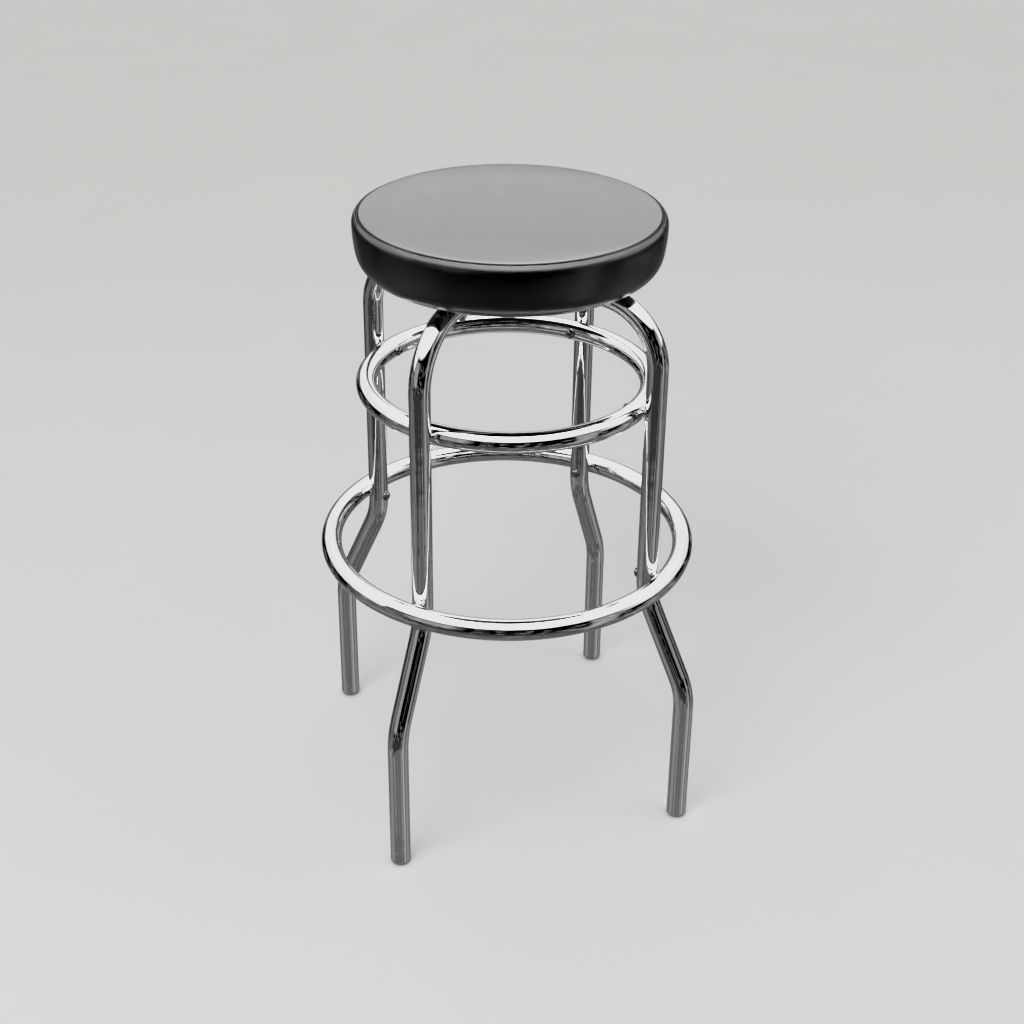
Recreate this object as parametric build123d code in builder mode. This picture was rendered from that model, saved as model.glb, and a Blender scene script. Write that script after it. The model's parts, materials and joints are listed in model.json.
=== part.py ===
"""Bar stool with two tube rings: four bent chrome legs and a round padded seat that swivels.

The origin is on the floor under the centre of the seat. +Z is up, the legs stand on the
diagonals, and -Y is the front. All sizes are in millimetres.
"""

import os
from math import acos, cos, degrees, radians, sin, sqrt

from build123d import *

# ---------------------------------------------------------------- driving dimensions
# Tube frame
TUBE_DIAMETER = 25.4
TUBE_WALL = 1.5
LEG_RADIUS = 200.0            # circle on which the upright stretches of the legs stand
FOOT_SPREAD = 60.0            # how much further out the feet stand
LEG_TOP_LEVEL = 702.0         # centre line of the level stretches under the seat
LEG_STRAIGHT_END = 122.0      # where each level stretch ends and the top bend begins
LEG_END_MARGIN = 20.0         # tube beyond its inner bolt, towards the centre
UPPER_RING_DROP = 136.0       # upper ring below the level stretches
FOOT_RING_LEVEL = 347.0
SPLAY_DROP = 26.0             # corner of the upper splay bend below the foot ring
SPLAY_HEIGHT = 129.0          # between the corners of the two splay bends
SPLAY_BEND_RADIUS = 100.0

# Floor glides
GLIDE_HEIGHT = 6.0
GLIDE_ROUNDING = 5.5
GLIDE_PLUG_LENGTH = 18.0
GLIDE_PLUG_GAP = 0.6          # plug inside the bore, between the barbs
GLIDE_PLUG_END = 2.0          # solid end below the hollow of the plug
GLIDE_BARB_COUNT = 3
GLIDE_BARB_DEPTH = 1.0
GLIDE_BARB_HEIGHT = 2.4

# M6 fasteners
THREAD_DIAMETER = 6.0
BUTTON_HEAD_DIAMETER = 11.0
BUTTON_HEAD_HEIGHT = 3.3
SOCKET_SIZE = 4.0
SOCKET_DEPTH_RATIO = 0.6      # of the height of the head
SCREW_TIP_CHAMFER = 1.0
SCREW_END_MARGIN = 1.0        # screws end this much short of the insert's or tee nut's end
SADDLE_WASHER_DIAMETER = 13.0
SADDLE_WASHER_THICKNESS = 1.0
INSERT_DIAMETER = 9.0
INSERT_LENGTH = 14.0
INSERT_DEPTH = 0.2            # insert's face behind the face of the tube
INSERT_BULGE = 1.7
INSERT_BULGE_LENGTH = 3.0
CARRIAGE_HEAD_DIAMETER = 14.0
CARRIAGE_HEAD_HEIGHT = 3.0
NUT_WIDTH = 10.0
NUT_HEIGHT = 5.0
NUT_COLLAR_DIAMETER = 8.6
NUT_COLLAR_HEIGHT = 1.5
LEG_BOLT_END = 3.0            # bolt beyond its nut

# Swivel
PLATE_SIDE = 178.0
PLATE_THICKNESS = 2.0
PLATE_CORNER_RADIUS = 12.0
BALL_DIAMETER = 6.35
BALL_COUNT = 20
BALL_CIRCLE_RADIUS = 44.0
RACE_DEPTH = 0.425            # how far the balls sink into each plate
CAGE_WIDTH = 12.0
CAGE_THICKNESS = 1.0
RIVET_DIAMETER = 14.0
RIVET_BORE = 8.0
RIVET_FLANGE_WIDTH = 4.5
RIVET_FLANGE_THICKNESS = 1.5
LEG_BOLT_RADII = (72.0, 108.0)
SEAT_SCREW_RADIUS = 90.0
SEAT_SCREW_HEAD_HEIGHT = 2.4
ACCESS_HOLE_TURN = 17.0       # degrees from the leg to the hole for fitting the seat screws
ACCESS_HOLE_GAP = 1.0

# Seat
SEAT_RADIUS = 188.0           # widest point of the cushion
SEAM_INSET = 8.0              # seam circle inside the widest point
SHOULDER_RADIUS = 12.0        # rounding between the seam and the widest point
SHOULDER_HEIGHT = 36.2        # widest point above the top of the board
CROWN_HEIGHT = 5.7            # middle of the top panel above the seam
SIDE_RADIUS = 190.0           # gentle curve down the side
SIDE_TAPER = 11.0             # degrees turned by that curve
RIM_DROP = 12.2               # lowest point of the rolled edge below the board
ROLL_RADIUS = 8.0             # inner rounding of the rolled edge
SKIN_THICKNESS = 1.2
SEAM_ALLOWANCE = 6.0          # depth to which both skins are turned in and sewn
SKIN_FLANGE_WIDTH = 18.0      # skin stapled under the board
BOARD_OVERHANG = 38.0         # cushion beyond the edge of the board
BOARD_THICKNESS = 12.0
BOARD_CENTRE_HOLE = 30.0
TEE_NUT_DIAMETER = 18.0
TEE_NUT_FLANGE = 1.2
TEE_NUT_BARREL_DIAMETER = 8.0
TEE_NUT_BARREL_LENGTH = 9.0
DUST_COVER_THICKNESS = 0.6
DUST_COVER_LAP = 13.0         # dust cover over the stapled skin
DUST_COVER_STEP = 3.5         # slope of the dust cover where it rises off the stapled skin
DUST_COVER_STEP_GAP = 0.5     # from the edge of the skin to the slope
STAPLE_COUNT = 24
STAPLE_CROWN = 10.0
STAPLE_LEG = 6.0
STAPLE_WIRE = 0.7

# Clearances
PRESS_GAP = 0.05              # piece pushed into a hole
THREAD_GAP = 0.05             # screw in its thread
BOLT_GAP = 0.2                # bolt through a plain hole
RIVET_RUNNING_GAP = 0.08      # upper plate around the rivet
FIXED_RACE_GAP = 0.1          # balls in the lower race
MOVING_RACE_GAP = 0.3         # balls in the upper race
RIVET_LIFT = 0.3              # rivet head above the upper plate
CAGE_POCKET_GAP = 0.2

# ---------------------------------------------------------------- derived sizes
tube_radius = TUBE_DIAMETER / 2
bore_radius = tube_radius - TUBE_WALL
thread_radius = THREAD_DIAMETER / 2
bolt_hole_radius = thread_radius + BOLT_GAP
ball_radius = BALL_DIAMETER / 2
rivet_radius = RIVET_DIAMETER / 2

foot_radius = LEG_RADIUS + FOOT_SPREAD
top_bend_radius = LEG_RADIUS - LEG_STRAIGHT_END
leg_end = min(LEG_BOLT_RADII) - LEG_END_MARGIN
splay_start = FOOT_RING_LEVEL - SPLAY_DROP
splay_end = splay_start - SPLAY_HEIGHT
upper_ring_level = LEG_TOP_LEVEL - UPPER_RING_DROP
upper_ring_radius = LEG_RADIUS - TUBE_DIAMETER       # inside the legs, touching them
foot_ring_radius = LEG_RADIUS + TUBE_DIAMETER        # outside the legs, touching them
leg_inner_face = LEG_RADIUS - tube_radius
leg_outer_face = LEG_RADIUS + tube_radius
ring_inner_face = upper_ring_radius - tube_radius

lower_plate_bottom = LEG_TOP_LEVEL + tube_radius
lower_plate_top = lower_plate_bottom + PLATE_THICKNESS
plate_gap = BALL_DIAMETER - 2 * RACE_DEPTH
ball_level = lower_plate_top + plate_gap / 2
upper_plate_bottom = lower_plate_top + plate_gap
upper_plate_top = upper_plate_bottom + PLATE_THICKNESS
board_bottom = upper_plate_top + DUST_COVER_THICKNESS
board_top = board_bottom + BOARD_THICKNESS
board_radius = SEAT_RADIUS - BOARD_OVERHANG

corners = {"front_left": 225.0, "front_right": 315.0, "rear_right": 45.0, "rear_left": 135.0}
first_corner = corners["rear_right"]
leg_count = len(corners)

os.makedirs("parts", exist_ok=True)


def save(piece, name):
    """Label a finished piece and write it to its own file."""
    piece.label = name
    export_step(piece, f"parts/{name}.step")


def outward(radius, level):
    """One place per leg at this radius and level, with its Z axis pointing away from the centre."""
    places = []
    for azimuth in corners.values():
        direction = Vector(cos(radians(azimuth)), sin(radians(azimuth)), 0)
        origin = direction * radius + Vector(0, 0, level)
        places.append(Plane(origin=origin, x_dir=(0, 0, 1), z_dir=direction).location)
    return places


def repeat(piece, places, name):
    """Write copies of one piece at several places as one group of separate solids."""
    with BuildPart() as group:
        with Locations(*places):
            add(piece)
    save(group.part, name)


# ---------------------------------------------------------------- legs
with BuildPart() as leg:
    with BuildLine(Plane.XZ) as leg_path:
        FilletPolyline(
            (leg_end, LEG_TOP_LEVEL),
            (LEG_RADIUS, LEG_TOP_LEVEL),
            (LEG_RADIUS, splay_start),
            (foot_radius, splay_end),
            (foot_radius, GLIDE_HEIGHT),
            radius=[top_bend_radius, SPLAY_BEND_RADIUS, SPLAY_BEND_RADIUS],
        )
    with BuildSketch(Plane(origin=leg_path.line @ 0, z_dir=leg_path.line % 0)):
        Circle(tube_radius)
        Circle(bore_radius, mode=Mode.SUBTRACT)
    sweep()
    with Locations(*[(radius, 0, LEG_TOP_LEVEL) for radius in LEG_BOLT_RADII]):
        Cylinder(bolt_hole_radius, 2 * TUBE_DIAMETER, mode=Mode.SUBTRACT)
    with Locations((leg_inner_face, 0, upper_ring_level)):
        Cylinder(INSERT_DIAMETER / 2 + PRESS_GAP, TUBE_DIAMETER, rotation=(0, 90, 0), mode=Mode.SUBTRACT)
    with Locations((LEG_RADIUS, 0, FOOT_RING_LEVEL)):
        Cylinder(bolt_hole_radius, 2 * TUBE_DIAMETER, rotation=(0, 90, 0), mode=Mode.SUBTRACT)

for corner, azimuth in corners.items():
    save(leg.part.rotate(Axis.Z, azimuth), f"leg_{corner}")

# ---------------------------------------------------------------- floor glides
plug_top = GLIDE_HEIGHT + GLIDE_PLUG_LENGTH
barb_root = bore_radius - GLIDE_BARB_DEPTH
with BuildPart() as glide:
    with BuildSketch(Plane.XZ):
        with BuildLine():
            Polyline((0, 0), (tube_radius - GLIDE_ROUNDING, 0))
            CenterArc(
                (tube_radius - GLIDE_ROUNDING, GLIDE_ROUNDING), GLIDE_ROUNDING, start_angle=-90, arc_size=90
            )
            Polyline(
                (tube_radius, GLIDE_ROUNDING),
                (tube_radius, GLIDE_HEIGHT),
                (bore_radius - GLIDE_PLUG_GAP, GLIDE_HEIGHT),
                (bore_radius - GLIDE_PLUG_GAP, plug_top),
                (0, plug_top),
                (0, 0),
            )
        make_face()
        barb_pitch = GLIDE_PLUG_LENGTH / (GLIDE_BARB_COUNT + 1)
        for barb in range(1, GLIDE_BARB_COUNT + 1):
            barb_level = GLIDE_HEIGHT + barb * barb_pitch
            with BuildLine():
                Polyline(
                    (barb_root, barb_level - GLIDE_BARB_HEIGHT / 2),
                    (bore_radius - PRESS_GAP, barb_level - GLIDE_BARB_HEIGHT / 2),
                    (barb_root, barb_level + GLIDE_BARB_HEIGHT / 2),
                    close=True,
                )
            make_face()
    revolve(axis=Axis.Z)
    with Locations((0, 0, plug_top)):
        Hole(bore_radius / 2, depth=GLIDE_PLUG_LENGTH - GLIDE_PLUG_END)

for corner, azimuth in corners.items():
    with BuildPart() as placed_glide:
        with PolarLocations(foot_radius, 1, start_angle=azimuth):
            add(glide.part)
    save(placed_glide.part, f"glide_{corner}")

# ---------------------------------------------------------------- rings
with BuildPart() as upper_ring:
    with BuildSketch(Plane.XZ):
        with Locations((upper_ring_radius, upper_ring_level)):
            Circle(tube_radius)
            Circle(bore_radius, mode=Mode.SUBTRACT)
    revolve(axis=Axis.Z)
    with Locations(*outward(upper_ring_radius, upper_ring_level)):
        Cylinder(bolt_hole_radius, 2 * TUBE_DIAMETER, mode=Mode.SUBTRACT)
save(upper_ring.part, "upper_ring")

with BuildPart() as foot_ring:
    with BuildSketch(Plane.XZ):
        with Locations((foot_ring_radius, FOOT_RING_LEVEL)):
            Circle(tube_radius)
            Circle(bore_radius, mode=Mode.SUBTRACT)
    revolve(axis=Axis.Z)
    with Locations(*outward(leg_outer_face, FOOT_RING_LEVEL)):
        Cylinder(INSERT_DIAMETER / 2 + PRESS_GAP, TUBE_DIAMETER, mode=Mode.SUBTRACT)
save(foot_ring.part, "foot_ring")


# ---------------------------------------------------------------- fasteners
def domed_screw(head_diameter, head_height, shank_length, socket_depth):
    """Screw with a domed head below Z = 0 and a plain shank above it."""
    head_radius = head_diameter / 2
    rim = head_height / 4
    rise = head_height - rim
    dome_radius = (head_radius**2 + rise**2) / (2 * rise)
    halfway = (head_radius / 2, dome_radius - head_height - sqrt(dome_radius**2 - head_radius**2 / 4))
    with BuildPart() as screw:
        with BuildSketch(Plane.XZ):
            with BuildLine():
                ThreePointArc((0, -head_height), halfway, (head_radius, -rim))
                Polyline(
                    (head_radius, -rim),
                    (head_radius, 0),
                    (thread_radius, 0),
                    (thread_radius, shank_length - SCREW_TIP_CHAMFER),
                    (thread_radius - SCREW_TIP_CHAMFER, shank_length),
                    (0, shank_length),
                    (0, -head_height),
                )
            make_face()
        revolve(axis=Axis.Z)
        if socket_depth:
            with BuildSketch(Plane.XY.offset(-head_height)):
                RegularPolygon(SOCKET_SIZE / 2, 6, major_radius=False)
            extrude(amount=socket_depth, mode=Mode.SUBTRACT)
    return screw.part


insert_end = INSERT_DEPTH + INSERT_LENGTH
ring_screw_length = SADDLE_WASHER_THICKNESS + TUBE_DIAMETER + insert_end - SCREW_END_MARGIN
washer_reach = tube_radius - sqrt(tube_radius**2 - (SADDLE_WASHER_DIAMETER / 2) ** 2)
socket_depth = BUTTON_HEAD_HEIGHT * SOCKET_DEPTH_RATIO
ring_screw = domed_screw(BUTTON_HEAD_DIAMETER, BUTTON_HEAD_HEIGHT, ring_screw_length, socket_depth)
repeat(ring_screw, outward(ring_inner_face - SADDLE_WASHER_THICKNESS, upper_ring_level), "upper_ring_screws")
repeat(ring_screw, outward(leg_inner_face - SADDLE_WASHER_THICKNESS, FOOT_RING_LEVEL), "foot_ring_screws")

with BuildPart() as saddle_disc:
    Cylinder(
        SADDLE_WASHER_DIAMETER / 2,
        SADDLE_WASHER_THICKNESS + washer_reach,
        align=(Align.CENTER, Align.CENTER, Align.MIN),
    )
    Cylinder(bolt_hole_radius, SADDLE_WASHER_DIAMETER, mode=Mode.SUBTRACT)

with BuildPart() as upper_ring_washers:
    with Locations(*outward(ring_inner_face - SADDLE_WASHER_THICKNESS, upper_ring_level)):
        add(saddle_disc.part)
    with Locations((0, 0, upper_ring_level)):
        Torus(upper_ring_radius, tube_radius, mode=Mode.SUBTRACT)
save(upper_ring_washers.part, "upper_ring_washers")

with BuildPart() as foot_ring_washers:
    with Locations(*outward(leg_inner_face - SADDLE_WASHER_THICKNESS, FOOT_RING_LEVEL)):
        add(saddle_disc.part)
    with PolarLocations(LEG_RADIUS, leg_count, start_angle=first_corner):
        with Locations((0, 0, FOOT_RING_LEVEL)):
            Cylinder(tube_radius, 2 * SADDLE_WASHER_DIAMETER, mode=Mode.SUBTRACT)
save(foot_ring_washers.part, "foot_ring_washers")

# Threaded inserts: a barrel in the wall of the tube, with a bulge behind the wall.
insert_radius = INSERT_DIAMETER / 2
bulge_radius = insert_radius + INSERT_BULGE
bulge_start = tube_radius - sqrt(bore_radius**2 - bulge_radius**2) + PRESS_GAP
with BuildPart() as insert:
    with BuildSketch(Plane.XZ):
        with BuildLine():
            Polyline(
                (thread_radius + THREAD_GAP, INSERT_DEPTH),
                (insert_radius, INSERT_DEPTH),
                (insert_radius, bulge_start),
                (bulge_radius, bulge_start),
                (insert_radius, bulge_start + INSERT_BULGE_LENGTH),
                (insert_radius, insert_end),
                (thread_radius + THREAD_GAP, insert_end),
                close=True,
            )
        make_face()
    revolve(axis=Axis.Z)
repeat(insert.part, outward(leg_inner_face, upper_ring_level), "upper_ring_inserts")
repeat(insert.part, outward(leg_outer_face, FOOT_RING_LEVEL), "foot_ring_inserts")

# Carriage bolts hold the lower swivel plate down on the level stretches of the legs.
leg_bolt_length = PLATE_THICKNESS + TUBE_DIAMETER + NUT_HEIGHT + LEG_BOLT_END
leg_bolt = domed_screw(CARRIAGE_HEAD_DIAMETER, CARRIAGE_HEAD_HEIGHT, leg_bolt_length, 0)
with BuildPart() as leg_nut:
    with BuildSketch():
        RegularPolygon(NUT_WIDTH / 2, 6, major_radius=False)
    extrude(amount=-NUT_HEIGHT)
    with Locations((0, 0, -NUT_HEIGHT)):
        Cylinder(
            NUT_COLLAR_DIAMETER / 2, NUT_COLLAR_HEIGHT, align=(Align.CENTER, Align.CENTER, Align.MAX)
        )
    Hole(thread_radius + THREAD_GAP)

bolt_places = []
nut_places = []
for radius in LEG_BOLT_RADII:
    for place in PolarLocations(radius, leg_count, start_angle=first_corner):
        bolt_places.append(Pos(0, 0, lower_plate_top) * place * Rot(180, 0, 0))
        nut_places.append(Pos(0, 0, LEG_TOP_LEVEL - tube_radius) * place)
repeat(leg_bolt, bolt_places, "leg_bolts")
repeat(leg_nut.part, nut_places, "leg_nuts")

# ---------------------------------------------------------------- swivel
with BuildPart() as lower_plate:
    with BuildSketch(Plane.XY.offset(lower_plate_bottom)):
        RectangleRounded(PLATE_SIDE, PLATE_SIDE, PLATE_CORNER_RADIUS)
        Circle(rivet_radius + PRESS_GAP, mode=Mode.SUBTRACT)
        for radius in LEG_BOLT_RADII:
            with PolarLocations(radius, leg_count, start_angle=first_corner):
                Circle(bolt_hole_radius, mode=Mode.SUBTRACT)
        # Access hole for the screws of the upper plate
        with PolarLocations(SEAT_SCREW_RADIUS, 1, start_angle=first_corner - ACCESS_HOLE_TURN):
            Circle(BUTTON_HEAD_DIAMETER / 2 + ACCESS_HOLE_GAP, mode=Mode.SUBTRACT)
    extrude(amount=PLATE_THICKNESS)
    with Locations((0, 0, ball_level)):
        Torus(BALL_CIRCLE_RADIUS, ball_radius + FIXED_RACE_GAP, mode=Mode.SUBTRACT)
save(lower_plate.part, "swivel_lower_plate")

with BuildPart() as upper_plate:
    with BuildSketch(Plane.XY.offset(upper_plate_bottom)):
        RectangleRounded(PLATE_SIDE, PLATE_SIDE, PLATE_CORNER_RADIUS)
        Circle(rivet_radius + RIVET_RUNNING_GAP, mode=Mode.SUBTRACT)
        with PolarLocations(SEAT_SCREW_RADIUS, leg_count, start_angle=first_corner):
            Circle(bolt_hole_radius, mode=Mode.SUBTRACT)
    extrude(amount=PLATE_THICKNESS)
    with Locations((0, 0, ball_level)):
        Torus(BALL_CIRCLE_RADIUS, ball_radius + MOVING_RACE_GAP, mode=Mode.SUBTRACT)
save(upper_plate.part, "swivel_upper_plate")

with BuildPart() as balls:
    with Locations((0, 0, ball_level)):
        with PolarLocations(BALL_CIRCLE_RADIUS, BALL_COUNT):
            Sphere(ball_radius)
save(balls.part, "swivel_balls")

with BuildPart() as cage:
    with BuildSketch(Plane.XY.offset(ball_level - CAGE_THICKNESS / 2)):
        Circle(BALL_CIRCLE_RADIUS + CAGE_WIDTH / 2)
        Circle(BALL_CIRCLE_RADIUS - CAGE_WIDTH / 2, mode=Mode.SUBTRACT)
        with PolarLocations(BALL_CIRCLE_RADIUS, BALL_COUNT):
            Circle(ball_radius + CAGE_POCKET_GAP, mode=Mode.SUBTRACT)
    extrude(amount=CAGE_THICKNESS)
save(cage.part, "ball_cage")

rivet_head_level = upper_plate_top + RIVET_LIFT
rivet_flange_radius = rivet_radius + RIVET_FLANGE_WIDTH
with BuildPart() as rivet:
    with BuildSketch(Plane.XZ):
        with BuildLine():
            Polyline(
                (RIVET_BORE / 2, lower_plate_bottom - RIVET_FLANGE_THICKNESS),
                (rivet_flange_radius, lower_plate_bottom - RIVET_FLANGE_THICKNESS),
                (rivet_flange_radius, lower_plate_bottom),
                (rivet_radius, lower_plate_bottom),
                (rivet_radius, rivet_head_level),
                (rivet_flange_radius, rivet_head_level),
                (rivet_flange_radius, rivet_head_level + RIVET_FLANGE_THICKNESS),
                (RIVET_BORE / 2, rivet_head_level + RIVET_FLANGE_THICKNESS),
                close=True,
            )
        make_face()
    revolve(axis=Axis.Z)
save(rivet.part, "swivel_rivet")

# ---------------------------------------------------------------- seat board and its fasteners
with BuildPart() as board:
    with BuildSketch(Plane.XY.offset(board_bottom)):
        Circle(board_radius)
        Circle(BOARD_CENTRE_HOLE / 2, mode=Mode.SUBTRACT)
        with PolarLocations(SEAT_SCREW_RADIUS, leg_count, start_angle=first_corner):
            Circle(TEE_NUT_BARREL_DIAMETER / 2 + PRESS_GAP, mode=Mode.SUBTRACT)
    extrude(amount=BOARD_THICKNESS)
    with BuildSketch(Plane.XY.offset(board_top)):
        with PolarLocations(SEAT_SCREW_RADIUS, leg_count, start_angle=first_corner):
            Circle(TEE_NUT_DIAMETER / 2 + PRESS_GAP)
    extrude(amount=-TEE_NUT_FLANGE, mode=Mode.SUBTRACT)
save(board.part, "seat_board")

with BuildPart() as tee_nuts:
    with BuildSketch(Plane.XY.offset(board_top)):
        with PolarLocations(SEAT_SCREW_RADIUS, leg_count, start_angle=first_corner):
            Circle(TEE_NUT_DIAMETER / 2)
            Circle(thread_radius + THREAD_GAP, mode=Mode.SUBTRACT)
    extrude(amount=-TEE_NUT_FLANGE)
    with BuildSketch(Plane.XY.offset(board_top - TEE_NUT_FLANGE)):
        with PolarLocations(SEAT_SCREW_RADIUS, leg_count, start_angle=first_corner):
            Circle(TEE_NUT_BARREL_DIAMETER / 2)
            Circle(thread_radius + THREAD_GAP, mode=Mode.SUBTRACT)
    extrude(amount=-TEE_NUT_BARREL_LENGTH)
save(tee_nuts.part, "tee_nuts")

seat_screw_length = board_top - upper_plate_bottom - SCREW_END_MARGIN
seat_socket_depth = SEAT_SCREW_HEAD_HEIGHT * SOCKET_DEPTH_RATIO
seat_screw = domed_screw(
    BUTTON_HEAD_DIAMETER, SEAT_SCREW_HEAD_HEIGHT, seat_screw_length, seat_socket_depth
)
seat_screw_places = [
    Pos(0, 0, upper_plate_bottom) * place
    for place in PolarLocations(SEAT_SCREW_RADIUS, leg_count, start_angle=first_corner)
]
repeat(seat_screw, seat_screw_places, "seat_screws")

# ---------------------------------------------------------------- cushion
# The cushion is turned about Z. Its side is a chain of arcs, each with one centre for the
# outside of the skin and for the foam, so the skin has the same thickness everywhere.
widest_level = board_top + SHOULDER_HEIGHT
seam_radius = SEAT_RADIUS - SEAM_INSET
rim_level = board_bottom - RIM_DROP
taper = radians(SIDE_TAPER)

shoulder_centre = (SEAT_RADIUS - SHOULDER_RADIUS, widest_level)
side_centre = (SEAT_RADIUS - SIDE_RADIUS, widest_level)
side_end = (SEAT_RADIUS - SIDE_RADIUS * (1 - cos(taper)), widest_level - SIDE_RADIUS * sin(taper))
lower_radius = (side_end[1] - rim_level) / (1 - sin(taper))
lower_centre = (side_end[0] - lower_radius * cos(taper), side_end[1] + lower_radius * sin(taper))
roll_centre = (lower_centre[0], rim_level + ROLL_RADIUS)
roll_inside = roll_centre[0] - ROLL_RADIUS


def shoulder_angle(radius, inset):
    """Angle on the shoulder arc at which the skin, inset by this much, reaches this radius."""
    return degrees(acos((radius - shoulder_centre[0]) / (SHOULDER_RADIUS - inset)))


def shoulder_level(radius, inset):
    return widest_level + (SHOULDER_RADIUS - inset) * sin(radians(shoulder_angle(radius, inset)))


seam_level = shoulder_level(seam_radius, 0)
crown_radius = (seam_radius**2 + CROWN_HEIGHT**2) / (2 * CROWN_HEIGHT)
crown_level = seam_level + CROWN_HEIGHT


def crown_point(radius, inset):
    """Point on the crowned top at this radius, inset by this much."""
    level = crown_level - crown_radius + sqrt((crown_radius - inset) ** 2 - radius**2)
    return (radius, level)


def draw_side(inset, start_radius):
    """Draw the side of the cushion from the shoulder down to the inside of the rolled edge."""
    CenterArc(shoulder_centre, SHOULDER_RADIUS - inset, 0, shoulder_angle(start_radius, inset))
    CenterArc(side_centre, SIDE_RADIUS - inset, 0, -SIDE_TAPER)
    CenterArc(lower_centre, lower_radius - inset, -SIDE_TAPER, SIDE_TAPER - 90)
    CenterArc(roll_centre, ROLL_RADIUS - inset, -90, -90)


seam_bottom = seam_level - SEAM_ALLOWANCE
flange_end = roll_inside - SKIN_FLANGE_WIDTH

with BuildPart() as side_band:
    with BuildSketch(Plane.XZ):
        with BuildLine():
            draw_side(0, seam_radius)
            draw_side(SKIN_THICKNESS, seam_radius + SKIN_THICKNESS)
            Polyline(
                (roll_inside, roll_centre[1]),
                (roll_inside, board_bottom - SKIN_THICKNESS),
                (flange_end, board_bottom - SKIN_THICKNESS),
                (flange_end, board_bottom),
                (roll_inside + SKIN_THICKNESS, board_bottom),
                (roll_inside + SKIN_THICKNESS, roll_centre[1]),
            )
            Polyline(
                (seam_radius, seam_level),
                (seam_radius, seam_bottom),
                (seam_radius + SKIN_THICKNESS, seam_bottom),
                (seam_radius + SKIN_THICKNESS, shoulder_level(seam_radius + SKIN_THICKNESS, SKIN_THICKNESS)),
            )
        make_face()
    revolve(axis=Axis.Z)
save(side_band.part, "seat_side_band")

with BuildPart() as top_panel:
    with BuildSketch(Plane.XZ):
        with BuildLine():
            panel_edge = seam_radius - SKIN_THICKNESS
            ThreePointArc((0, crown_level), crown_point(seam_radius / 2, 0), (seam_radius, seam_level))
            Polyline(
                (seam_radius, seam_level),
                (seam_radius, seam_bottom),
                (panel_edge, seam_bottom),
                crown_point(panel_edge, SKIN_THICKNESS),
            )
            ThreePointArc(
                crown_point(panel_edge, SKIN_THICKNESS),
                crown_point(panel_edge / 2, SKIN_THICKNESS),
                (0, crown_level - SKIN_THICKNESS),
            )
            Line((0, crown_level - SKIN_THICKNESS), (0, crown_level))
        make_face()
    revolve(axis=Axis.Z)
save(top_panel.part, "seat_top_panel")

# Everything inside the skin: the pad above the board, and the roll around its edge.
with BuildSketch(Plane.XZ) as filling:
    with BuildLine():
        draw_side(SKIN_THICKNESS, seam_radius + SKIN_THICKNESS)
        ThreePointArc(
            (0, crown_level - SKIN_THICKNESS),
            crown_point(panel_edge / 2, SKIN_THICKNESS),
            crown_point(panel_edge, SKIN_THICKNESS),
        )
        Line(
            crown_point(panel_edge, SKIN_THICKNESS),
            (seam_radius + SKIN_THICKNESS, shoulder_level(seam_radius + SKIN_THICKNESS, SKIN_THICKNESS)),
        )
        Polyline(
            (roll_inside + SKIN_THICKNESS, roll_centre[1]),
            (roll_inside + SKIN_THICKNESS, board_bottom),
            (0, board_bottom),
            (0, crown_level - SKIN_THICKNESS),
        )
    make_face()
    with Locations((seam_radius, seam_bottom)):
        Rectangle(
            2 * SKIN_THICKNESS, 2 * SEAM_ALLOWANCE, align=(Align.CENTER, Align.MIN), mode=Mode.SUBTRACT
        )

with BuildPart() as pad:
    add(filling.sketch)
    revolve(axis=Axis.Z)
    split(bisect_by=Plane.XY.offset(board_top), keep=Keep.TOP)
save(pad.part, "seat_foam")

with BuildPart() as edge_roll:
    add(filling.sketch)
    revolve(axis=Axis.Z)
    split(bisect_by=Plane.XY.offset(board_top), keep=Keep.BOTTOM)
    with Locations((0, 0, board_bottom)):
        Cylinder(
            board_radius, BOARD_THICKNESS, align=(Align.CENTER, Align.CENTER, Align.MIN), mode=Mode.SUBTRACT
        )
save(edge_roll.part, "edge_roll")

# ---------------------------------------------------------------- underside
# The dust cover lies flat on the board, steps down over the stapled skin, and is pinched
# between the board and the swivel's upper plate.
cover_level = board_bottom - SKIN_THICKNESS - DUST_COVER_THICKNESS
cover_radius = flange_end + DUST_COVER_LAP
step_end = flange_end - DUST_COVER_STEP_GAP
step_start = step_end - DUST_COVER_STEP
with BuildPart() as dust_cover:
    with BuildSketch(Plane.XZ):
        with BuildLine():
            Polyline(
                (BOARD_CENTRE_HOLE / 2, board_bottom),
                (step_start, board_bottom),
                (step_end, board_bottom - SKIN_THICKNESS),
                (cover_radius, board_bottom - SKIN_THICKNESS),
                (cover_radius, cover_level),
                (step_end, cover_level),
                (step_start, board_bottom - DUST_COVER_THICKNESS),
                (BOARD_CENTRE_HOLE / 2, board_bottom - DUST_COVER_THICKNESS),
                close=True,
            )
        make_face()
    revolve(axis=Axis.Z)
    with Locations((0, 0, board_bottom)):
        with PolarLocations(SEAT_SCREW_RADIUS, leg_count, start_angle=first_corner):
            Cylinder(bolt_hole_radius, 4 * DUST_COVER_THICKNESS, mode=Mode.SUBTRACT)
save(dust_cover.part, "dust_cover")

staple_reach = SKIN_THICKNESS + DUST_COVER_THICKNESS + STAPLE_LEG
with BuildPart() as staple:
    Box(STAPLE_WIRE, STAPLE_CROWN, STAPLE_WIRE, align=(Align.CENTER, Align.CENTER, Align.MAX))
    with GridLocations(0, STAPLE_CROWN - STAPLE_WIRE, 1, 2):
        Box(STAPLE_WIRE, STAPLE_WIRE, staple_reach, align=(Align.CENTER, Align.CENTER, Align.MIN))
staple_places = [
    Pos(0, 0, cover_level) * place
    for place in PolarLocations(flange_end + DUST_COVER_LAP / 2, STAPLE_COUNT)
]
repeat(staple.part, staple_places, "staples")
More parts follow.
